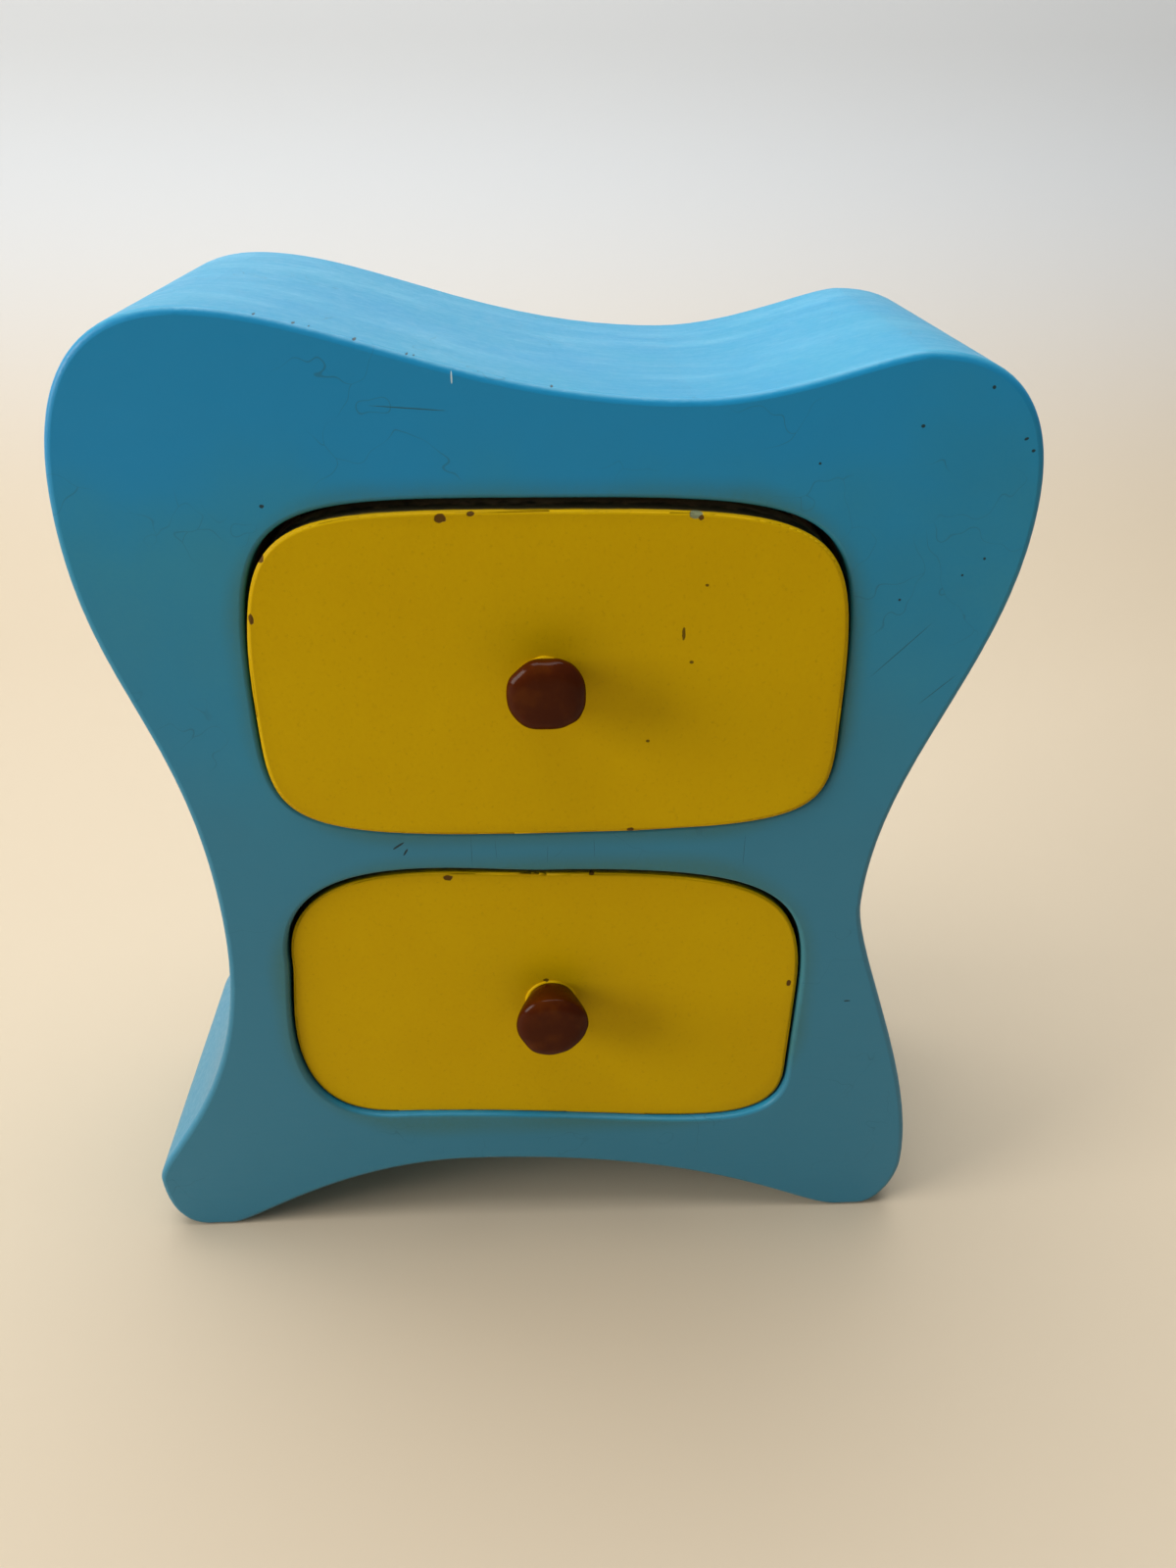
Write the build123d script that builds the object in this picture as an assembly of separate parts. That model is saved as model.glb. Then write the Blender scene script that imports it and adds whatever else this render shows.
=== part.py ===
"""Wooden box with two pull-out drawers, sawn from one block.

The block is sawn to a wavy outline and its back is sliced off.  The drawers are the two blanks
sawn out of the block and sanded until they slide, so each one follows its opening and is looser
above.  A slice off the front and the back of each blank is glued to a middle that is hollowed
from above, and the back slice of the block closes the box.  Each drawer is pulled by a turned peg.

Millimetres.  +Z is up and the drawers pull out towards -Y.  The origin is on the table, under
the middle of the whole box.
"""
from build123d import *
import os

# Depth, from the front of the block to the back
block_depth = 57.5
back_thickness = 8.0
edge_softening = 1.2
mouth_softening = 0.8

# Height, in a stack from the table to the left crown
arch_height = 19.0
base_thickness = 14.6
lower_mouth_height = 64.5
rail_thickness = 9.0
upper_mouth_height = 63.9
top_thickness = 15.5
left_crown_rise = 13.5
right_crown_rise = 7.0

# Width, in a row from the left foot to the right shoulder
left_foot_flare = 24.5
left_wall = 11.5
lower_mouth_width = 103.9
right_wall = 10.6
right_shoulder_flare = 19.5
upper_mouth_width = 104.5
upper_mouth_shift = 1.3

# The rest of the outline
left_shoulder_flare = 14.5
right_foot_flare = 18.5
left_shoulder_drop = 33.0
right_shoulder_drop = 31.5
left_waist_height = 86.5
right_waist_height = 88.5
left_foot_height = 15.0
right_foot_height = 14.0
left_crown_inset = 24.5
right_crown_inset = 22.0
valley_inset = 58.0
arch_inset = 71.0
toe_inset = 8.5
toe_width = 5.5

# Drawers
running_gap = 0.45
side_gap = 0.8
top_gap = 1.8
end_gap = 1.3
drawer_front_thickness = 8.0
drawer_back_thickness = 6.0
drawer_wall = 10.0
drawer_floor = 9.0
hollow_corner = 12.0
drawer_softening = 0.5
upper_stands_out = 1.0
lower_stands_out = -1.2

# Knobs
knob_reach = 9.8
knob_base_radius = 4.8
knob_rim_depth = 2.6
knob_edge_round = 1.5
knob_dome = 0.9
upper_head_radius = 6.9
lower_head_radius = 7.3
tenon_radius = 3.0
tenon_length = 6.0
glue_gap = 0.05
bore_spare = 0.4
knob_side_shift = 0.7
upper_knob_height = 32.4
lower_knob_height = 34.4

# Places that follow from the sizes above
lower_mouth_bottom = arch_height + base_thickness
lower_mouth_top = lower_mouth_bottom + lower_mouth_height
upper_mouth_bottom = lower_mouth_top + rail_thickness
upper_mouth_top = upper_mouth_bottom + upper_mouth_height
valley_height = upper_mouth_top + top_thickness
body_height = valley_height + left_crown_rise

waist_to_waist = left_wall + lower_mouth_width + right_wall
body_width = left_foot_flare + waist_to_waist + right_shoulder_flare
left_waist_x = left_foot_flare - body_width / 2
right_waist_x = left_waist_x + waist_to_waist
left_foot_x = left_waist_x - left_foot_flare
right_foot_x = right_waist_x + right_foot_flare
left_shoulder_x = left_waist_x - left_shoulder_flare
right_shoulder_x = right_waist_x + right_shoulder_flare
lower_mouth_x = left_waist_x + left_wall + lower_mouth_width / 2
upper_mouth_x = lower_mouth_x + upper_mouth_shift
knob_x = lower_mouth_x + knob_side_shift

overall_depth = knob_reach + upper_stands_out + block_depth + back_thickness
back_y = overall_depth / 2
block_back_y = back_y - back_thickness
block_front_y = block_back_y - block_depth
drawer_depth = block_depth - 2 * end_gap

right, down, left, up = Vector(1, 0), Vector(0, -1), Vector(-1, 0), Vector(0, 1)


def sawn_line(turns):
    """The curves of a smooth closed line, clockwise, four points to a curve.

    A turn is where the line runs level or upright: its x, its height, its heading, and how much
    of the way from the turn before, and to the turn after, the line keeps to that heading.
    """
    curves = []
    for here, there in zip(turns, turns[1:] + turns[:1]):
        start, end = Vector(here[:2]), Vector(there[:2])
        way = end - start
        leaving, arriving = here[2], there[2]
        kept_leaving = leaving * abs(way.dot(leaving)) * here[4]
        kept_arriving = arriving * abs(way.dot(arriving)) * there[3]
        curves.append([start, start + kept_leaving, end - kept_arriving, end])
    return curves


def inside(curves):
    """The face inside a line.  A curve whose points are all at one height is a straight edge."""
    edges = []
    for curve in curves:
        is_level = len({point.Y for point in curve}) == 1
        edges.append(Line(curve[0], curve[3]) if is_level else Bezier(*curve))
    return make_face(Wire(edges))


def body_outline():
    left_crown_x = left_shoulder_x + left_crown_inset
    right_crown_x = right_shoulder_x - right_crown_inset
    right_crown_height = valley_height + right_crown_rise
    left_shoulder_height = body_height - left_shoulder_drop
    right_shoulder_height = body_height - right_shoulder_drop
    valley_x = right_shoulder_x - valley_inset
    arch_x = left_foot_x + arch_inset
    left_toe_x = left_foot_x + toe_inset
    right_toe_x = right_foot_x - toe_inset
    return sawn_line([
        (left_crown_x, body_height, right, 0.73, 0.27),
        (valley_x, valley_height, right, 0.46, 0.42),
        (right_crown_x, right_crown_height, right, 0.17, 0.27),
        (right_shoulder_x, right_shoulder_height, down, 0.96, 0.36),
        (right_waist_x, right_waist_height, down, 0.41, 0.17),
        (right_foot_x, right_foot_height, down, 0.37, 0.46),
        (right_toe_x, 0, left, 0.53, 0.33),
        (right_toe_x - toe_width, 0, left, 0.33, 0.11),
        (arch_x, arch_height, left, 0.66, 0.54),
        (left_toe_x + toe_width, 0, left, 0.1, 0.33),
        (left_toe_x, 0, left, 0.33, 0.47),
        (left_foot_x, left_foot_height, up, 0.77, 0.12),
        (left_waist_x, left_waist_height, up, 0.64, 0.53),
        (left_shoulder_x, left_shoulder_height, up, 0.37, 0.59),
    ])


def upper_mouth():
    half_width = upper_mouth_width / 2
    side_height = upper_mouth_bottom + 0.41 * upper_mouth_height
    return sawn_line([
        (upper_mouth_x, upper_mouth_top, right, 0.89, 0.95),
        (upper_mouth_x + half_width, side_height, down, 0.94, 0.87),
        (upper_mouth_x - 0.14 * half_width, upper_mouth_bottom, left, 1.06, 0.96),
        (upper_mouth_x - half_width, side_height, up, 0.84, 1.04),
    ])


def lower_mouth():
    half_width = lower_mouth_width / 2
    return sawn_line([
        (lower_mouth_x, lower_mouth_top, right, 0.32, 1.15),
        (lower_mouth_x + half_width, lower_mouth_bottom + 0.16 * lower_mouth_height, down, 0.77, 2.3),
        (lower_mouth_x - 0.65 * half_width, lower_mouth_bottom, left, 0.63, 1.48),
        (lower_mouth_x - half_width, lower_mouth_bottom + 0.67 * lower_mouth_height, up, 0.21, 1.36),
    ])


def slab(face, front_y, depth):
    """A slice of the block: the face drawn as seen from the front, made solid backwards."""
    return extrude(Plane.XZ.offset(-front_y - depth) * face, amount=depth)


def body_block():
    """The block with both mouths sawn through it, softened round the front."""
    block = slab(inside(body_outline()), block_front_y, block_depth)
    for mouth in (upper_mouth(), lower_mouth()):
        block -= slab(inside(mouth), block_front_y, block_depth)
    front = block.faces().sort_by(Axis.Y)[0]
    block = fillet(front.outer_wire().edges(), edge_softening)
    front = block.faces().sort_by(Axis.Y)[0]
    mouth_edges = [edge for wire in front.inner_wires() for edge in wire.edges()]
    return fillet(mouth_edges, mouth_softening)


def back_panel():
    """The slice off the back of the block, glued on again to close the mouths."""
    panel = slab(inside(body_outline()), block_back_y, back_thickness)
    return fillet(panel.faces().sort_by(Axis.Y)[-1].edges(), edge_softening)


def drawer_blank(mouth):
    """The drawer's outline: its mouth's, drawn in to clear the floor, the sides and the top."""
    opening = inside(mouth).bounding_box()
    middle, floor = opening.center().X, opening.min.Y
    wide = 1 - 2 * side_gap / opening.size.X
    high = 1 - (running_gap + top_gap) / opening.size.Y
    rests_at = floor + running_gap
    return inside([
        [Vector(middle + wide * (point.X - middle), rests_at + high * (point.Y - floor)) for point in curve]
        for curve in mouth
    ])


def drawer_hollow(blank):
    """The straight-sided hollow, round at its lower corners and open above."""
    box = blank.bounding_box()
    width = box.size.X - 2 * drawer_wall
    height = box.size.Y
    hollow = Pos(box.center().X, box.min.Y + drawer_floor + height / 2) * Rectangle(width, height)
    low_corners = hollow.vertices().group_by(Axis.Y)[0]
    return fillet(low_corners, hollow_corner)


def drawer_front(blank, front_y, knob_z):
    """The front slice, softened round its face and bored for the peg's tenon."""
    front = slab(blank, front_y, drawer_front_thickness)
    front = fillet(front.faces().sort_by(Axis.Y)[0].edges(), drawer_softening)
    bore = Pos(knob_x, knob_z) * Circle(tenon_radius + glue_gap)
    return front - slab(bore, front_y, tenon_length + bore_spare)


def knob(head_radius, front_y, knob_z):
    """A turned peg that flares from its seat to a round-edged, domed head."""
    rim_y = knob_rim_depth - knob_reach
    face_y = knob_dome - knob_reach
    face_radius = head_radius - knob_edge_round
    profile = make_face([
        Line((0, tenon_length), (tenon_radius, tenon_length)),
        Line((tenon_radius, tenon_length), (tenon_radius, 0)),
        Line((tenon_radius, 0), (knob_base_radius, 0)),
        Bezier((knob_base_radius, 0), (0.96 * knob_base_radius, 0.36 * rim_y),
               (head_radius, 0.67 * rim_y), (head_radius, rim_y)),
        Bezier((head_radius, rim_y), (head_radius, (rim_y + face_y) / 2),
               (1.125 * face_radius, face_y + 0.25 * knob_dome), (face_radius, face_y)),
        Bezier((face_radius, face_y), (face_radius / 2, -knob_reach),
               (face_radius / 3, -knob_reach), (0, -knob_reach)),
        Line((0, -knob_reach), (0, tenon_length)),
    ])
    return Pos(knob_x, front_y, knob_z) * revolve(profile, Axis.Y)


def drawer(name, mouth, stands_out, knob_height, head_radius):
    """One drawer's four pieces, by their names."""
    blank = drawer_blank(mouth)
    front_y = block_front_y - stands_out
    core_y = front_y + drawer_front_thickness
    rear_y = front_y + drawer_depth - drawer_back_thickness
    knob_z = blank.bounding_box().min.Y + knob_height
    return {
        f"{name}_drawer_front": drawer_front(blank, front_y, knob_z),
        f"{name}_drawer_core": slab(blank - drawer_hollow(blank), core_y, rear_y - core_y),
        f"{name}_drawer_back": slab(blank, rear_y, drawer_back_thickness),
        f"{name}_knob": knob(head_radius, front_y, knob_z),
    }


pieces = {
    "body_block": body_block(),
    "back_panel": back_panel(),
    **drawer("upper", upper_mouth(), upper_stands_out, upper_knob_height, upper_head_radius),
    **drawer("lower", lower_mouth(), lower_stands_out, lower_knob_height, lower_head_radius),
}

os.makedirs("parts", exist_ok=True)
for name, piece in pieces.items():
    export_step(piece, f"parts/{name}.step")
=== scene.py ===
import math

import bpy
from mathutils import Matrix, Vector, noise


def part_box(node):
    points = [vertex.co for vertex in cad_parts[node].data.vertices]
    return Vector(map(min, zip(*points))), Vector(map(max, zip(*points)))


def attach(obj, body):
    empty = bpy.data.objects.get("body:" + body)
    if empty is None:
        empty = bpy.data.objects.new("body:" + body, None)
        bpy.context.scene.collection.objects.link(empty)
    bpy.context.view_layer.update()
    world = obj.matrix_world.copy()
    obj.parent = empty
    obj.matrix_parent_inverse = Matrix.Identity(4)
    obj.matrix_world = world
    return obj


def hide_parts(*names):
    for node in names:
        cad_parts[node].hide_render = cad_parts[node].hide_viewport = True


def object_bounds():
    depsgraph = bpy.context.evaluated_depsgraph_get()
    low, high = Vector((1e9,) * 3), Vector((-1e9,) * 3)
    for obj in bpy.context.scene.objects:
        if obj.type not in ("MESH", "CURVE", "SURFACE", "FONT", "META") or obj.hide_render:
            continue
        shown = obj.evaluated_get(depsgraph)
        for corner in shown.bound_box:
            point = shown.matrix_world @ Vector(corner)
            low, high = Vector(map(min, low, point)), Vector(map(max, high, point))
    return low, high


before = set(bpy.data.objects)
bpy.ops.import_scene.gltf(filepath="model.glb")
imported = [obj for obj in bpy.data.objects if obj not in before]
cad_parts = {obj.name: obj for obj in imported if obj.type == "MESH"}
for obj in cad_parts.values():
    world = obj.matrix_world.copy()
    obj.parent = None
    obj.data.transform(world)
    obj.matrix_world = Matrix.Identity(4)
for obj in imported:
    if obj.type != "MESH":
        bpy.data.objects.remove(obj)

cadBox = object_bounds()
scene = bpy.context.scene
scene.view_settings.view_transform = "Standard"

mm = 0.001  # every length below is in millimetres
drawers = ("upper", "lower")
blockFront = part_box("body_block")[0].y / mm
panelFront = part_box("back_panel")[0].y / mm


def middleOf(node):
    low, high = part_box(node)
    return (low + high) / 2 / mm


# small helpers for node trees

def feed(tree, node, values):
    for name, value in values.items():
        if isinstance(value, bpy.types.NodeSocket):
            tree.links.new(value, node.inputs[name])
        else:
            node.inputs[name].default_value = value
    return node


def put(tree, kind, values=None, **settings):
    made = tree.nodes.new(kind)
    for name, value in settings.items():
        setattr(made, name, value)
    return feed(tree, made, values or {})


def placed(tree, group, values):
    return put(tree, "ShaderNodeGroup", values, node_tree=group).outputs


def calc(tree, operation, *values):
    return put(tree, "ShaderNodeMath", dict(enumerate(values)), operation=operation).outputs[0]


def vec(tree, operation, *values):
    node = put(tree, "ShaderNodeVectorMath", dict(enumerate(values)), operation=operation)
    return node.outputs["Value" if operation == "LENGTH" else "Vector"]


def ramp(tree, value, low, high, toLow=0.0, toHigh=1.0):
    values = {0: value, 1: low, 2: high, 3: toLow, 4: toHigh}
    return put(tree, "ShaderNodeMapRange", values, interpolation_type="SMOOTHSTEP").outputs[0]


def mixColour(tree, share, first, second):
    return put(tree, "ShaderNodeMix", {0: share, 6: first, 7: second}, data_type="RGBA").outputs[2]


def noiseOf(tree, place, scale, detail=2.0, roughness=0.5, output="Fac"):
    values = {"Vector": place, "Scale": scale, "Detail": detail, "Roughness": roughness}
    return put(tree, "ShaderNodeTexNoise", values).outputs[output]


def stretched(tree, place, by):
    return vec(tree, "MULTIPLY", place, by)


def varied(tree, base, around, amount):  # the base, more or less as a noise strays from its middle
    return calc(tree, "MULTIPLY_ADD", calc(tree, "SUBTRACT", around, 0.5), amount, base)


def axisOf(tree, place, axis):
    return put(tree, "ShaderNodeSeparateXYZ", {0: place}).outputs[axis]


def placeInMm(tree):
    coordinates = put(tree, "ShaderNodeTexCoord").outputs["Object"]
    return stretched(tree, coordinates, (1 / mm, 1 / mm, 1 / mm))


def newGroup(name, inputs, outputs):
    tree = bpy.data.node_groups.new(name, "ShaderNodeTree")
    for label, kind, value in inputs:
        socket = tree.interface.new_socket(name=label, in_out="INPUT", socket_type="NodeSocket" + kind)
        if value is not None:
            socket.default_value = value
    for label, kind in outputs:
        tree.interface.new_socket(name=label, in_out="OUTPUT", socket_type="NodeSocket" + kind)
    return tree, put(tree, "NodeGroupInput").outputs, put(tree, "NodeGroupOutput")


# effects that more than one material uses

brush = {
    "peelScale": 1.1, "peelDetail": 3.0, "swellScale": 0.09, "swellHeight": 4.0, "strokes": (0.12, 0.6, 1.6),
    "strokeShine": 0.25, "peelShine": 0.2, "mottleScale": 0.035, "mottleDetail": 4.0, "mottleShare": 0.7,
}


def makeBrushedPaint():
    tree, given, out = newGroup(
        "brushedPaint",
        [("Place", "Vector", None), ("Peel", "Float", 1.0), ("Brushing", "Float", 0.5),
         ("Gloss", "Float", 0.4)],
        [("Height", "Float"), ("Roughness", "Float"), ("Mottle", "Float")])
    place = given["Place"]
    peel = noiseOf(tree, place, brush["peelScale"], brush["peelDetail"])
    strokes = noiseOf(tree, stretched(tree, place, brush["strokes"]), 1.0)
    height = calc(tree, "MULTIPLY", peel, given["Peel"])
    height = calc(tree, "MULTIPLY_ADD", strokes, given["Brushing"], height)
    swell = noiseOf(tree, place, brush["swellScale"])
    height = calc(tree, "MULTIPLY_ADD", swell, brush["swellHeight"], height)
    rough = varied(tree, given["Gloss"], strokes, brush["strokeShine"])
    rough = varied(tree, rough, peel, brush["peelShine"])
    fine = calc(tree, "MULTIPLY", peel, 1 - brush["mottleShare"])
    broad = noiseOf(tree, place, brush["mottleScale"], brush["mottleDetail"])
    mottle = calc(tree, "MULTIPLY_ADD", broad, brush["mottleShare"], fine)
    feed(tree, out, {"Height": height, "Roughness": rough, "Mottle": mottle})
    return tree


marking = {"grain": 1.2, "grainDetail": 3.0, "grainRoughness": 0.65, "edge": (1.12, 0.85),
           "raggedSmall": 0.9, "raggedLong": 0.25, "longFrom": 3}


def makePaintMark():
    tree, given, out = newGroup(
        "paintMark",
        [("Place", "Vector", None), ("Middle", "Vector", None), ("Long", "Float", 1.0),
         ("Wide", "Float", 1.0), ("Deep", "Float", 2.0), ("Turn", "Float", 0.0), ("Ragged", "Float", 0.5)],
        [("Mask", "Float")])
    offset = vec(tree, "SUBTRACT", given["Place"], given["Middle"])
    turn = {"Vector": offset, "Angle": given["Turn"]}
    turned = put(tree, "ShaderNodeVectorRotate", turn, rotation_type="Y_AXIS").outputs[0]
    size = {0: given["Long"], 1: given["Deep"], 2: given["Wide"]}
    size = put(tree, "ShaderNodeCombineXYZ", size).outputs[0]
    distance = vec(tree, "LENGTH", vec(tree, "DIVIDE", turned, size))
    grain = noiseOf(tree, given["Place"], marking["grain"], marking["grainDetail"], marking["grainRoughness"])
    distance = varied(tree, distance, grain, given["Ragged"])
    feed(tree, out, {"Mask": ramp(tree, distance, *marking["edge"])})
    return tree


def makeRoundedDistance():  # how far a place is outside a rounded rectangle, seen from the front
    tree, given, out = newGroup(
        "roundedDistance",
        [("Place", "Vector", None), ("Middle", "Vector", None), ("Half", "Vector", None),
         ("Corner", "Float", 16.0)],
        [("Distance", "Float")])
    flat = stretched(tree, vec(tree, "SUBTRACT", given["Place"], given["Middle"]), (1, 0, 1))
    corner = put(tree, "ShaderNodeCombineXYZ", {0: given["Corner"], 2: given["Corner"]}).outputs[0]
    core = vec(tree, "SUBTRACT", given["Half"], corner)
    past = vec(tree, "MAXIMUM", vec(tree, "SUBTRACT", vec(tree, "ABSOLUTE", flat), core), (0, 0, 0))
    feed(tree, out, {"Distance": calc(tree, "SUBTRACT", vec(tree, "LENGTH", past), given["Corner"])})
    return tree


timber = {
    "pale": (0.62, 0.43, 0.24, 1), "dark": (0.36, 0.2, 0.09, 1),
    "heart": (0, 95, -60), "rings": (0.02, 0.36, 0.36), "ringHeight": 0.3,  # arcs round a far heart
    "waver": 5.0, "waverScale": (0.012, 0.04, 0.04),
    "fibres": (0.08, 2.2, 2.2), "fibreDetail": 4.0, "fibreRoughness": 0.6, "fibreShare": 0.45,
    "lateWood": (0.35, 0.95), "lateShare": 0.55, "roughness": 0.75, "bump": (0.06, 0.8),
}


def makeSoftwood():
    tree, given, out = newGroup(
        "softwood",
        [("Place", "Vector", None), ("Pale", "Color", timber["pale"]), ("Dark", "Color", timber["dark"])],
        [("Color", "Color"), ("Height", "Float")])
    place = given["Place"]
    fromHeart = stretched(tree, vec(tree, "SUBTRACT", place, timber["heart"]), timber["rings"])
    waver = noiseOf(tree, stretched(tree, place, timber["waverScale"]), 1.0)
    radius = calc(tree, "MULTIPLY_ADD", waver, timber["waver"], vec(tree, "LENGTH", fromHeart))
    rings = calc(tree, "FRACT", radius)
    fibres = stretched(tree, place, timber["fibres"])
    fibres = noiseOf(tree, fibres, 1.0, timber["fibreDetail"], timber["fibreRoughness"])
    late = calc(tree, "MULTIPLY", ramp(tree, rings, *timber["lateWood"]), timber["lateShare"])
    share = calc(tree, "MULTIPLY_ADD", fibres, timber["fibreShare"], late)
    feed(tree, out, {
        "Color": mixColour(tree, share, given["Pale"], given["Dark"]),
        "Height": calc(tree, "MULTIPLY_ADD", rings, timber["ringHeight"], fibres)})
    return tree


hairline = {"bendScale": 0.07, "bend": (34, 34, 34), "edge": (1.0, 0.2),
            "patchScale": 0.05, "patchDetail": 3.0, "patches": (0.5, 0.62)}


def makeCrackle():
    tree, given, out = newGroup(
        "crackle", [("Place", "Vector", None), ("Cell", "Float", 14.0), ("Thin", "Float", 0.012)],
        [("Mask", "Float")])
    place = given["Place"]
    bend = noiseOf(tree, place, hairline["bendScale"], output="Color")
    bent = vec(tree, "MULTIPLY_ADD", bend, hairline["bend"], place)
    cells = {"Vector": bent, "Scale": calc(tree, "DIVIDE", 1.0, given["Cell"])}
    edge = put(tree, "ShaderNodeTexVoronoi", cells, feature="DISTANCE_TO_EDGE").outputs[0]
    line = ramp(tree, calc(tree, "DIVIDE", edge, given["Thin"]), *hairline["edge"])
    patch = noiseOf(tree, place, hairline["patchScale"], hairline["patchDetail"])
    feed(tree, out, {"Mask": calc(tree, "MULTIPLY", line, ramp(tree, patch, *hairline["patches"]))})
    return tree


brushedPaint = makeBrushedPaint()
paintMark = makePaintMark()
roundedDistance = makeRoundedDistance()
softwood = makeSoftwood()
crackle = makeCrackle()


# what every material shares

def newMaterial(name):
    material = bpy.data.materials.new(name)
    material.use_nodes = True
    tree = material.node_tree
    tree.nodes.clear()
    shader = put(tree, "ShaderNodeBsdfPrincipled")
    put(tree, "ShaderNodeOutputMaterial", {0: shader.outputs[0]})
    return material, tree, shader


def finishSurface(tree, shader, colour, roughness, height, bump):
    depth, strength = bump
    bumped = put(tree, "ShaderNodeBump", {"Height": height, "Distance": depth * mm, "Strength": strength})
    feed(tree, shader, {"Base Color": colour, "Roughness": roughness, "Normal": bumped.outputs[0]})


def skinOf(tree, place, paint):
    values = {"Place": place, "Gloss": paint["gloss"], "Peel": paint["peel"], "Brushing": paint["brushing"]}
    return placed(tree, brushedPaint, values)


def mottled(tree, skin, paint):
    return mixColour(tree, ramp(tree, skin["Mottle"], *paint["mottling"]), paint["fresh"], paint["aged"])


def addMarks(tree, place, colour, height, marks, faceAt, tint, dent):
    for x, z, long, wide, turn in marks:
        ragged = marking["raggedSmall" if long < marking["longFrom"] else "raggedLong"]
        mask = placed(tree, paintMark, {
            "Place": place, "Middle": (x, faceAt, z), "Long": long, "Wide": wide, "Turn": math.radians(turn),
            "Ragged": ragged})["Mask"]
        colour = mixColour(tree, mask, colour, tint)
        height = calc(tree, "MULTIPLY_ADD", mask, -dent, height)
    return colour, height


# blue block and back

blue = {
    "fresh": (0.012, 0.235, 0.41, 1), "aged": (0.022, 0.255, 0.40, 1), "mottling": (0.3, 0.7),
    "peel": 0.8, "brushing": 0.5, "gloss": 0.42, "specular": 0.3, "bump": (0.035, 0.6),
    "upright": (0.9, 0.3),  # how far a surface faces up, from where it counts as the top to where it doesn't
    # painted light and shade on upright faces: high is a brighter blue painted near the top, low is a darker,
    # greyer blue painted towards the bottom
    "high": (0.008, 0.25, 0.5, 1), "highFrom": (155.0, 188.0),
    "low": (0.033, 0.205, 0.315, 1), "lowFrom": (178.0, 85.0),
    "bandScale": 0.03, "bandDetail": 3.0, "bandWaver": 60.0,
    # paler, greyer patches on the up-facing faces
    "paleGrey": (0.16, 0.42, 0.56, 1), "paleGreyStretch": (0.03, 0.12, 0.1), "paleGreyDetail": 5.0,
    "paleGreyRoughness": 0.6, "paleGreyPatches": (0.42, 0.75), "paleGreyOnTop": (0.5, 0.9, 0.0, 0.32),
    # grime and painted shade round each drawer mouth, darker towards the mouth's edge
    "shadeAndGrime": (0.045, 0.15, 0.11, 1), "shadeAndGrimeReach": (4.2, -0.8), "shadeAndGrimeDepth": (12.0, 6.0),
    "mouths": [(4.3, 139.0, 52.3, 32.0, 24), (2.5, 64.4, 52.9, 34.7, 27)],  # x, z, half sizes, corner
    "crackCell": 21.0, "crackThin": 0.006, "crackShare": 0.5,
    "paintedInside": 5.0, "insideScale": 0.25, "insideDetail": 3.0, "insideRagged": 4.0, "insideEdge": 0.3,
    "inside": {"X": (-54.5, 61.0), "Z": (26.0, 178.0)}, "pastPanel": 0.1, "bareRoughness": 0.35,
    "line": (0.02, 0.13, 0.19, 1), "dark": (0.008, 0.04, 0.055, 1), "pale": (0.55, 0.7, 0.75, 1),
    "marks": [  # colour, dent, and each mark's x, z, length, width and turn
        ("line", 0.6, [
            (-17.2, 185.3, 5.8, 0.1, -4), (65.4, 143.6, 6.8, 0.09, 47), (73, 135.8, 4.1, 0.09, 44),
            (-11.2, 102.8, 0.06, 3.6, 0), (-6.6, 103.4, 0.045, 2.2, 3), (3.2, 102.2, 0.045, 2.0, -2),
            (12.1, 103.3, 0.045, 2.4, 2), (40.9, 101.9, 0.06, 3.6, 0)]),
        ("dark", 1.5, [
            (63.4, 182.2, 0.35, 0.28, 0), (73.7, 188.1, 0.3, 0.3, 0), (80.4, 180.1, 0.4, 0.25, 20),
            (81.9, 178.2, 0.3, 0.25, 0), (47.6, 176.4, 0.25, 0.22, 0), (63.8, 153, 0.25, 0.22, 0),
            (77.2, 160.2, 0.25, 0.25, 0), (73.9, 157.3, 0.2, 0.2, 0), (-41.6, 170.1, 0.35, 0.3, 0),
            (-24.9, 104.6, 1.3, 0.22, 35), (-23.6, 103.2, 0.9, 0.2, 60), (65.4, 63.5, 0.7, 0.2, 0)]),
        ("pale", 0.5, [(-10.4, 189.9, 0.13, 1.0, 0)])],
    "nicks": [  # x, how far below the crown's edge, size
        (-39.1, 0.2, 0.22), (-33.4, 0.35, 0.3), (-31.2, 0.1, 0.2), (-24.6, 0.2, 0.35),
        (-17.0, 0.3, 0.22), (-15.9, 0.1, 0.3), (-6.3, 0.25, 0.2), (4.9, 0.15, 0.3)],
    "nickWidth": 0.6, "nickTurn": 15, "nickDent": 1.5, "rimDepth": 1.3, "crownReach": 2,
}


def crownNicks():
    rim = [corner.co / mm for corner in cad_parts["body_block"].data.vertices
           if corner.co.y < (blockFront + blue["rimDepth"]) * mm]
    nicks = []
    for x, drop, size in blue["nicks"]:
        crown = max(corner.z for corner in rim if abs(corner.x - x) < blue["crownReach"])
        nicks.append((x, crown - drop, size, blue["nickWidth"] * size, blue["nickTurn"]))
    return nicks


# painted light and shade: upright faces get a brighter blue near the top and a darker, greyer blue towards
# the bottom, as light falls from above and bounces warm off the floor
def shadeByHeight(tree, place, colour, upright):
    band = noiseOf(tree, place, blue["bandScale"], blue["bandDetail"])
    height = varied(tree, axisOf(tree, place, "Z"), band, blue["bandWaver"])
    for name in ("high", "low"):
        share = calc(tree, "MULTIPLY", ramp(tree, height, *blue[name + "From"]), upright)
        colour = mixColour(tree, share, colour, blue[name])
    return colour


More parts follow.
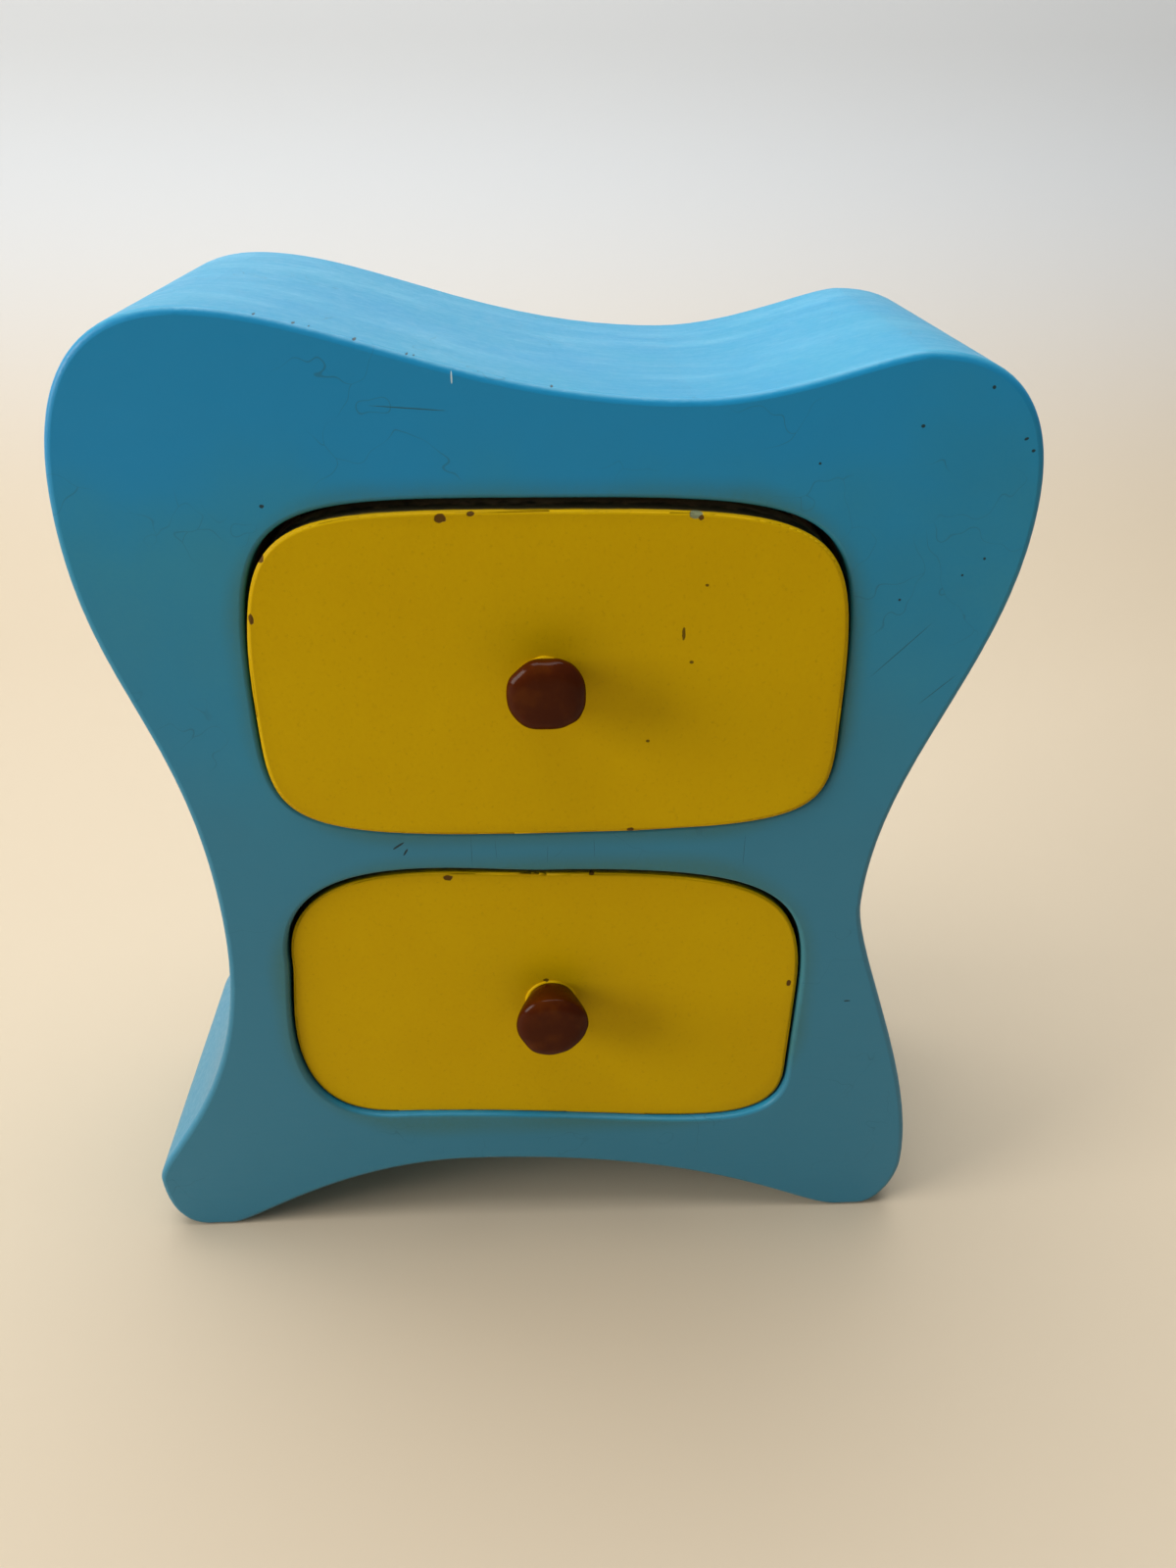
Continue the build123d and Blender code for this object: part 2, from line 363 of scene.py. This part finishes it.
# paler, greyer streaky patches, only on up-facing faces
def paleGreyPatchesOnTop(tree, place, colour, up):
    paleGreyShare = stretched(tree, place, blue["paleGreyStretch"])
    paleGreyShare = noiseOf(tree, paleGreyShare, 1.0, blue["paleGreyDetail"], blue["paleGreyRoughness"])
    paleGreyShare = ramp(tree, paleGreyShare, *blue["paleGreyPatches"])
    paleGreyShare = calc(tree, "MULTIPLY", paleGreyShare, ramp(tree, up, *blue["paleGreyOnTop"]))
    return mixColour(tree, paleGreyShare, colour, blue["paleGrey"])


# grime and painted shade: upright faces near the front darken towards each drawer mouth's edge, where the
# drawers shade the block
def shadeAndGrimeRoundMouths(tree, place, colour, mottle, upright):
    far, near = blue["shadeAndGrimeDepth"]
    nearFront = ramp(tree, axisOf(tree, place, "Y"), blockFront + far, blockFront + near)
    for x, z, halfWidth, halfHeight, corner in blue["mouths"]:
        distance = placed(tree, roundedDistance, {
            "Place": place, "Middle": (x, 0, z), "Half": (halfWidth, 0, halfHeight),
            "Corner": corner})["Distance"]
        halo = calc(tree, "MULTIPLY", ramp(tree, distance, *blue["shadeAndGrimeReach"]), mottle)
        halo = calc(tree, "MULTIPLY", halo, calc(tree, "MULTIPLY", upright, nearFront))
        colour = mixColour(tree, halo, colour, blue["shadeAndGrime"])
    return colour


def bareInside(tree, place):  # where the brush didn't reach, deep in the mouths
    ragged = noiseOf(tree, place, blue["insideScale"], blue["insideDetail"])
    ragged = calc(tree, "MULTIPLY", ragged, blue["insideRagged"])
    deep = calc(tree, "SUBTRACT", axisOf(tree, place, "Y"), blockFront + blue["paintedInside"])
    bare = ramp(tree, calc(tree, "SUBTRACT", deep, ragged), -blue["insideEdge"], blue["insideEdge"])
    limits = [(axis, "GREATER_THAN", low) for axis, (low, high) in blue["inside"].items()]
    limits += [(axis, "LESS_THAN", high) for axis, (low, high) in blue["inside"].items()]
    limits.append(("Y", "LESS_THAN", panelFront + blue["pastPanel"]))
    for axis, side, limit in limits:
        bare = calc(tree, "MULTIPLY", bare, calc(tree, side, axisOf(tree, place, axis), limit))
    return bare


def makeBlue():
    material, tree, shader = newMaterial("bluePaint")
    place = placeInMm(tree)
    skin = skinOf(tree, place, blue)
    up = axisOf(tree, put(tree, "ShaderNodeNewGeometry").outputs["Normal"], "Z")
    upright = ramp(tree, up, *blue["upright"])
    colour = shadeByHeight(tree, place, mottled(tree, skin, blue), upright)
    colour = paleGreyPatchesOnTop(tree, place, colour, up)
    colour = shadeAndGrimeRoundMouths(tree, place, colour, skin["Mottle"], upright)
    cracks = {"Place": place, "Cell": blue["crackCell"], "Thin": blue["crackThin"]}
    cracks = calc(tree, "MULTIPLY", placed(tree, crackle, cracks)["Mask"], blue["crackShare"])
    colour = mixColour(tree, cracks, colour, blue["line"])
    height = skin["Height"]
    for tint, dent, marks in blue["marks"] + [("dark", blue["nickDent"], crownNicks())]:
        colour, height = addMarks(tree, place, colour, height, marks, blockFront, blue[tint], dent)
    bare = bareInside(tree, place)
    colour = mixColour(tree, bare, colour, placed(tree, softwood, {"Place": place})["Color"])
    roughness = calc(tree, "MULTIPLY_ADD", bare, blue["bareRoughness"], skin["Roughness"])
    shader.inputs["Specular IOR Level"].default_value = blue["specular"]
    finishSurface(tree, shader, colour, roughness, height, blue["bump"])
    return material


# yellow drawer fronts

yellow = {
    "fresh": (0.62, 0.39, 0.001, 1), "aged": (0.6, 0.365, 0.001, 1), "mottling": (0.3, 0.7),
    "peel": 1.3, "brushing": 0.3, "gloss": 0.42, "specular": 0.05, "bump": (0.035, 0.7),
    "dirt": (0.16, 0.09, 0.004, 1), "corner": 17.0, "darkerTowardsEdge": (-3.0, 0.5, 0.0, 0.25),
    "speckScale": 1.4, "speckDetail": 3.0, "speckRoughness": 0.6, "specks": (0.58, 0.75, 0.0, 0.16),
    # painted shade and rub grime: the dark band on the front's sides, seen in the shaded gap round the drawer
    "gapShadeAndGrime": (0.07, 0.06, 0.03, 1), "gapShadeAndGrimeScale": 0.5, "gapShadeAndGrimeDetail": 3.0, "paintedBack": 1.6,
    "bareScale": 0.35, "bareDetail": 4.0, "bareRagged": -5.0, "bareBehind": (0.5, 3.0),
    "primer": (0.22, 0.24, 0.13, 1), "chip": (0.115, 0.055, 0.008, 1),
    "upper": [  # colour, dent, and each mark's x, z, length, width and turn
        ("primer", 4.0, [(28.0, 168.5, 1.05, 0.7, 0)]),
        ("chip", 5.0, [
            (-13.3, 168.2, 0.95, 0.75, 0), (-8.4, 168.9, 0.6, 0.4, 0), (28.9, 168.0, 0.45, 0.4, 30),
            (-42.8, 161.8, 0.6, 0.8, 0), (-45.7, 151.2, 0.45, 0.9, 0), (18.9, 108.0, 0.7, 0.45, 0)]),
        ("dirt", 1.0, [
            (27.0, 147.7, 0.3, 1.3, 0), (28.6, 142.3, 0.4, 0.3, 0), (21.5, 126.9, 0.35, 0.3, 0),
            (30.5, 156.4, 0.3, 0.25, 0)])],
    "lower": [
        ("chip", 5.0, [
            (-16.1, 96.2, 0.95, 0.6, 0), (53.0, 67.7, 0.45, 0.8, 0), (4.5, 96.9, 1.3, 0.3, 0),
            (11.7, 96.4, 0.5, 0.3, 0), (6.1, 31.8, 0.9, 0.4, 0)]),
        ("dirt", 1.0, [(2.5, 70.1, 0.6, 0.4, 0)])],
}


def dirtyTheFace(tree, place, colour, mottle, low, high):
    distance = placed(tree, roundedDistance, {
        "Place": place, "Middle": tuple((low + high) / 2 / mm), "Half": tuple((high - low) / 2 / mm),
        "Corner": yellow["corner"]})["Distance"]
    # the face darkens towards its edges, in mottled patches
    edge = calc(tree, "MULTIPLY", ramp(tree, distance, *yellow["darkerTowardsEdge"]), mottle)
    colour = mixColour(tree, edge, colour, yellow["dirt"])
    specks = noiseOf(tree, place, yellow["speckScale"], yellow["speckDetail"], yellow["speckRoughness"])
    return mixColour(tree, ramp(tree, specks, *yellow["specks"]), colour, yellow["dirt"])


def bareTheSides(tree, place, colour, faceAt):  # painted shade and rub grime: a dark band on the sides behind the painted edge, where the gap round the drawer is in shade, and bare wood behind that
    behind = calc(tree, "SUBTRACT", axisOf(tree, place, "Y"), faceAt)
    ragged = noiseOf(tree, place, yellow["gapShadeAndGrimeScale"], yellow["gapShadeAndGrimeDetail"])
    behind = calc(tree, "SUBTRACT", behind, ragged)
    colour = mixColour(tree, ramp(tree, behind, 0.0, yellow["paintedBack"]), colour, yellow["gapShadeAndGrime"])
    ragged = noiseOf(tree, place, yellow["bareScale"], yellow["bareDetail"])
    behind = calc(tree, "MULTIPLY_ADD", ragged, yellow["bareRagged"], behind)
    wood = placed(tree, softwood, {"Place": place})["Color"]
    return mixColour(tree, ramp(tree, behind, *yellow["bareBehind"]), colour, wood)


def makeYellow(name):
    material, tree, shader = newMaterial(name + "YellowPaint")
    place = placeInMm(tree)
    skin = skinOf(tree, place, yellow)
    low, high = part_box(name + "_drawer_front")
    faceAt = low.y / mm
    colour = dirtyTheFace(tree, place, mottled(tree, skin, yellow), skin["Mottle"], low, high)
    colour = bareTheSides(tree, place, colour, faceAt)
    height = skin["Height"]
    for tint, dent, marks in yellow[name]:
        colour, height = addMarks(tree, place, colour, height, marks, faceAt, yellow[tint], dent)
    shader.inputs["Specular IOR Level"].default_value = yellow["specular"]
    finishSurface(tree, shader, colour, skin["Roughness"], height, yellow["bump"])
    return material


def makeBareWood():
    material, tree, shader = newMaterial("bareWood")
    wood = placed(tree, softwood, {"Place": placeInMm(tree)})
    finishSurface(tree, shader, wood["Color"], timber["roughness"], wood["Height"], timber["bump"])
    return material


brown = {
    "thick": (0.056, 0.009, 0.001, 1), "thin": (0.08, 0.016, 0.001, 1),
    "thinScale": 0.3, "thinDetail": 3.0, "thinPatches": (0.4, 0.75),
    "peel": 0.5, "brushing": 0.2, "gloss": 0.35, "specular": 0.0, "bump": (0.015, 0.5),
    "coat": 0.42, "coatRoughness": 0.13, "coatBending": 1.3,
}


def makeBrown():
    material, tree, shader = newMaterial("brownPaint")
    place = placeInMm(tree)
    skin = skinOf(tree, place, brown)
    thin = ramp(tree, noiseOf(tree, place, brown["thinScale"], brown["thinDetail"]), *brown["thinPatches"])
    colour = mixColour(tree, thin, brown["thick"], brown["thin"])
    shader.inputs["Specular IOR Level"].default_value = brown["specular"]
    shader.inputs["Coat Weight"].default_value = brown["coat"]
    shader.inputs["Coat Roughness"].default_value = brown["coatRoughness"]
    shader.inputs["Coat IOR"].default_value = brown["coatBending"]
    finishSurface(tree, shader, colour, skin["Roughness"], skin["Height"], brown["bump"])
    return material


print("materials")
bluePaint = makeBlue()
bareWood = makeBareWood()
brownPaint = makeBrown()
yellowPaint = {name: makeYellow(name) for name in drawers}


def dress(node, material):
    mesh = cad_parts[node].data
    mesh.materials.clear()
    mesh.materials.append(material)


dress("body_block", bluePaint)
dress("back_panel", bluePaint)
for name in drawers:
    dress(name + "_drawer_front", yellowPaint[name])
    dress(name + "_drawer_core", bareWood)
    dress(name + "_drawer_back", bareWood)


# meshes

def addMesh(name, corners, faces, material):
    mesh = bpy.data.meshes.new(name)
    mesh.from_pydata([Vector(corner) * mm for corner in corners], [], faces)
    mesh.materials.append(material)
    for face in mesh.polygons:
        face.use_smooth = True
    made = bpy.data.objects.new(name, mesh)
    scene.collection.objects.link(made)
    return made


def addPiece(name, corners, faces, material, body):
    made = addMesh(name, corners, faces, material)
    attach(made, body)
    return made


def lofted(rings):
    count = len(rings[0])
    corners = [corner for ring in rings for corner in ring]
    faces = []
    for level in range(len(rings) - 1):
        for step in range(count):
            after = (step + 1) % count
            faces.append((level * count + step, level * count + after,
                          (level + 1) * count + after, (level + 1) * count + step))
    return corners, faces


# painted pegs

peg = {
    "around": 72, "smoothing": 2,
    "flare": [  # reach from the drawer's face, how far the radius has grown from the seat's to the head's
        (-0.3, 0.0), (0.0, 0.02), (0.9, 0.15), (2.2, 0.36), (3.6, 0.57), (5.0, 0.77), (6.0, 0.89),
        (6.8, 0.965), (7.4, 0.995)],
    "cap": [  # reach, and radius as a share of the head's
        (7.9, 0.995), (8.35, 0.955), (8.8, 0.885), (9.15, 0.795), (9.38, 0.69), (9.52, 0.56),
        (9.61, 0.4), (9.66, 0.28), (9.67, 0.12)],
    "shapedFrom": 7,  # reach at which the head's own outline and place are all there
    "lumps": 1.4, "lumpsAlong": 0.2, "lumpsApart": 9, "lumpHeight": 0.008,
    "upper": {
        "head": 6.75, "seat": 3.95, "across": -0.4, "raise": 0.25, "seatRaise": -0.75,
        "beadShift": (-0.6, 0, 0.1),
        "outline": [  # the head's radius at each angle, counted from the right over the top
            (0, 6.75), (30, 6.95), (48, 7.05), (64, 6.85), (90, 6.25), (112, 6.6), (136, 6.5), (157, 6.85),
            (180, 6.75), (213, 6.85), (238, 6.95), (270, 6.5), (302, 6.9), (320, 7.2), (336, 7.0)]},
    "lower": {
        "head": 7.3, "seat": 4.75, "across": 0.0, "raise": 0.0, "seatRaise": 0.0,
        "beadShift": (-0.1, 0, 0),
        "outline": [
            (0, 7.35), (20, 7.4), (45, 7.3), (90, 7.2), (135, 7.25), (180, 7.3), (212, 7.25), (243, 7.95),
            (262, 7.85), (289, 7.45), (319, 7.05), (346, 7.15)]},
}


def outlineAt(own, angle):
    degrees = math.degrees(angle) % 360
    turns = own["outline"] + [(360, own["outline"][0][1])]
    for (start, first), (end, second) in zip(turns, turns[1:]):
        if start <= degrees <= end:
            share = (1 - math.cos(math.pi * (degrees - start) / (end - start))) / 2
            return first + (second - first) * share


def pegCorner(seat, own, angle, reach, radius):
    across, up = math.cos(angle), math.sin(angle)
    out = min(1.0, max(0.0, reach / peg["shapedFrom"]))
    shape = 1 + (outlineAt(own, angle) / own["head"] - 1) * out
    along = reach * peg["lumpsAlong"] + own["head"] * peg["lumpsApart"]
    lump = noise.noise(Vector((across * peg["lumps"], up * peg["lumps"], along)))
    radius *= shape * (1 + peg["lumpHeight"] * lump)
    return (seat.x + own["across"] * out + radius * across, seat.y - reach,
            seat.z + own["raise"] * out + own["seatRaise"] * (1 - out) + radius * up)


def seatOf(name):
    seat = middleOf(name + "_knob")
    seat.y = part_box(name + "_drawer_front")[0].y / mm
    return seat


def makePeg(name):
    own, seat, count = peg[name], seatOf(name), peg["around"]
    steps = [(reach, own["seat"] + (own["head"] - own["seat"]) * grown) for reach, grown in peg["flare"]]
    steps += [(reach, own["head"] * share) for reach, share in peg["cap"]]
    angles = [2 * math.pi * step / count for step in range(count)]
    rings = [[pegCorner(seat, own, angle, reach, radius) for angle in angles] for reach, radius in steps]
    corners, faces = lofted(rings)
    faces.append(tuple(range(count))[::-1])
    faces.append(tuple(range(len(corners) - count, len(corners))))
    made = addPiece(name + "PaintedPeg", corners, faces, brownPaint, name + "_drawer")
    smooth = made.modifiers.new("smooth", "SUBSURF")
    smooth.levels = smooth.render_levels = peg["smoothing"]
    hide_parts(name + "_knob")


# thick yellow paint: a ring round each peg's seat and an edge round each drawer's face

bead = {"around": 72, "section": 10, "flatness": 0.9, "thick": 0.42, "spread": 0.15, "reach": 0.1,
        "lumps": 1.8, "lumpHeight": 0.7, "lumpsApart": 3}


def beadSection(middle, out, thick):
    section = []
    for step in range(bead["section"]):
        turn = 2 * math.pi * step / bead["section"]
        forwards = Vector((0, bead["flatness"], 0)) * thick * math.sin(turn)
        section.append(middle + out * thick * math.cos(turn) - forwards)
    return section


def makeBead(name):
    own, seat = peg[name], seatOf(name)
    lumpsFrom = Vector((seat.x * bead["lumpsApart"] + seat.z, 0, 0))
    centre = seat + Vector((0, -bead["reach"], own["seatRaise"])) + Vector(own["beadShift"])
    rings = []
    for step in range(bead["around"]):
        angle = 2 * math.pi * step / bead["around"]
        out = Vector((math.cos(angle), 0, math.sin(angle)))
        lump = bead["lumpHeight"] * noise.noise(out * bead["lumps"] + lumpsFrom)
        middle = centre + out * (own["seat"] + bead["spread"])
        rings.append(beadSection(middle, out, bead["thick"] * (1 + lump)))
    corners, faces = lofted(rings + rings[:1])
    made = addPiece(name + "PaintBead", corners, faces, yellowPaint[name], name + "_drawer")


lip = {"softening": 0.5, "sameDepth": 0.01, "thick": 0.32, "inwards": 0.08, "behind": 0.42,
       "lumps": 0.09, "lumpHeight": 0.45,
       "boreReach": 20}  # corners nearer the middle than this belong to the peg's bore


def rimOf(node, faceAt):
    middle = middleOf(node)
    rim = [corner.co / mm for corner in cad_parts[node].data.vertices
           if abs(corner.co.y / mm - faceAt - lip["softening"]) < lip["sameDepth"]]
    rim = [corner for corner in rim
           if max(abs(corner.x - middle.x), abs(corner.z - middle.z)) > lip["boreReach"]]
    rim.sort(key=lambda corner: math.atan2(corner.z - middle.z, corner.x - middle.x))
    return rim


def makeLip(name):
    node = name + "_drawer_front"
    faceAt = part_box(node)[0].y / mm
    rim = rimOf(node, faceAt)
    rings = []
    for before, here, after in zip(rim[-1:] + rim[:-1], rim, rim[1:] + rim[:1]):
        along = after - before
        out = Vector((along.z, 0, -along.x)).normalized()
        lump = lip["lumpHeight"] * noise.noise(here * lip["lumps"])
        middle = Vector((here.x, faceAt + lip["behind"], here.z)) - out * lip["inwards"]
        rings.append(beadSection(middle, out, lip["thick"] * (1 + lump)))
    corners, faces = lofted(rings + rings[:1])
    made = addPiece(name + "PaintLip", corners, faces, yellowPaint[name], name + "_drawer")


print("pegs")
for name in drawers:
    makePeg(name)
    makeBead(name)
    makeLip(name)


# floor and backdrop

stageSet = {
    "width": 12000, "front": -1600, "bend": 300, "bendRadius": 250, "bendSteps": 24, "height": 2200,
    "floor": (0.56, 0.46, 0.33, 1), "wall": (0.60, 0.62, 0.64, 1), "wallFrom": (0.0, 200.0),
    "paperScale": 0.3, "paperDetail": 3.0, "roughness": 0.7, "bump": (0.05, 0.2),
}


def makeBackdropPaper():
    material, tree, shader = newMaterial("backdropPaper")
    place = placeInMm(tree)
    share = ramp(tree, axisOf(tree, place, "Z"), *stageSet["wallFrom"])
    colour = mixColour(tree, share, stageSet["floor"], stageSet["wall"])
    paper = noiseOf(tree, place, stageSet["paperScale"], stageSet["paperDetail"])
    finishSurface(tree, shader, colour, stageSet["roughness"], paper, stageSet["bump"])
    return material


def makeStage():
    bend, radius = stageSet["bend"], stageSet["bendRadius"]
    line = [(stageSet["front"], 0)]
    for step in range(stageSet["bendSteps"] + 1):
        angle = math.pi / 2 * step / stageSet["bendSteps"]
        line.append((bend + radius * math.sin(angle), radius * (1 - math.cos(angle))))
    line.append((bend + radius, stageSet["height"]))
    corners = [(side * stageSet["width"] / 2, y, z) for y, z in line for side in (-1, 1)]
    faces = [(2 * i, 2 * i + 1, 2 * i + 3, 2 * i + 2) for i in range(len(line) - 1)]
    made = addMesh("backdrop", corners, faces, makeBackdropPaper())


# lights and camera

lights = {
    "window": {"at": (-1950, -610, 850), "size": (1000, 1100), "power": 34.0, "colour": (1.0, 0.98, 0.95)},
    "sky": {"at": (-50, 120, 1000), "size": (900, 800), "power": 11.8, "colour": (0.96, 0.98, 1.0)},
}
room = {"colour": (0.92, 0.96, 1.0, 1), "strength": 0.22}


def makeLight(name, light, aim):
    lamp = bpy.data.lights.new(name, "AREA")
    lamp.shape = "RECTANGLE"
    lamp.size, lamp.size_y = (side * mm for side in light["size"])
    lamp.energy, lamp.color = light["power"], light["colour"]
    made = bpy.data.objects.new(name, lamp)
    made.location = Vector(light["at"]) * mm
    made.rotation_euler = (aim - made.location).to_track_quat("-Z", "Y").to_euler()
    scene.collection.objects.link(made)


def makeRoom():
    world = bpy.data.worlds.new("softRoom")
    world.use_nodes = True
    background = world.node_tree.nodes["Background"]
    background.inputs["Color"].default_value = room["colour"]
    background.inputs["Strength"].default_value = room["strength"]
    scene.world = world


eye = {"at": (2.05, -213.15, 228.43), "down": 30.81, "right": 2.70, "roll": 0.39, "lens": 27, "sensor": 36,
       "clip": (10, 20000)}


def makeCamera():
    lens = bpy.data.cameras.new("eye")
    lens.lens, lens.sensor_width = eye["lens"], eye["sensor"]
    lens.clip_start, lens.clip_end = (distance * mm for distance in eye["clip"])
    made = bpy.data.objects.new("eye", lens)
    turned = Matrix.Rotation(-math.radians(eye["right"]), 4, "Z")
    tilted = Matrix.Rotation(math.radians(90 - eye["down"]), 4, "X")
    rolled = Matrix.Rotation(math.radians(eye["roll"]), 4, "Z")
    made.matrix_world = Matrix.Translation(Vector(eye["at"]) * mm) @ turned @ tilted @ rolled
    scene.collection.objects.link(made)
    scene.camera = made


print("floor, lights and camera")
makeStage()
for name, light in lights.items():
    makeLight(name, light, (cadBox[0] + cadBox[1]) / 2)
makeRoom()
makeCamera()

bpy.context.view_layer.update()
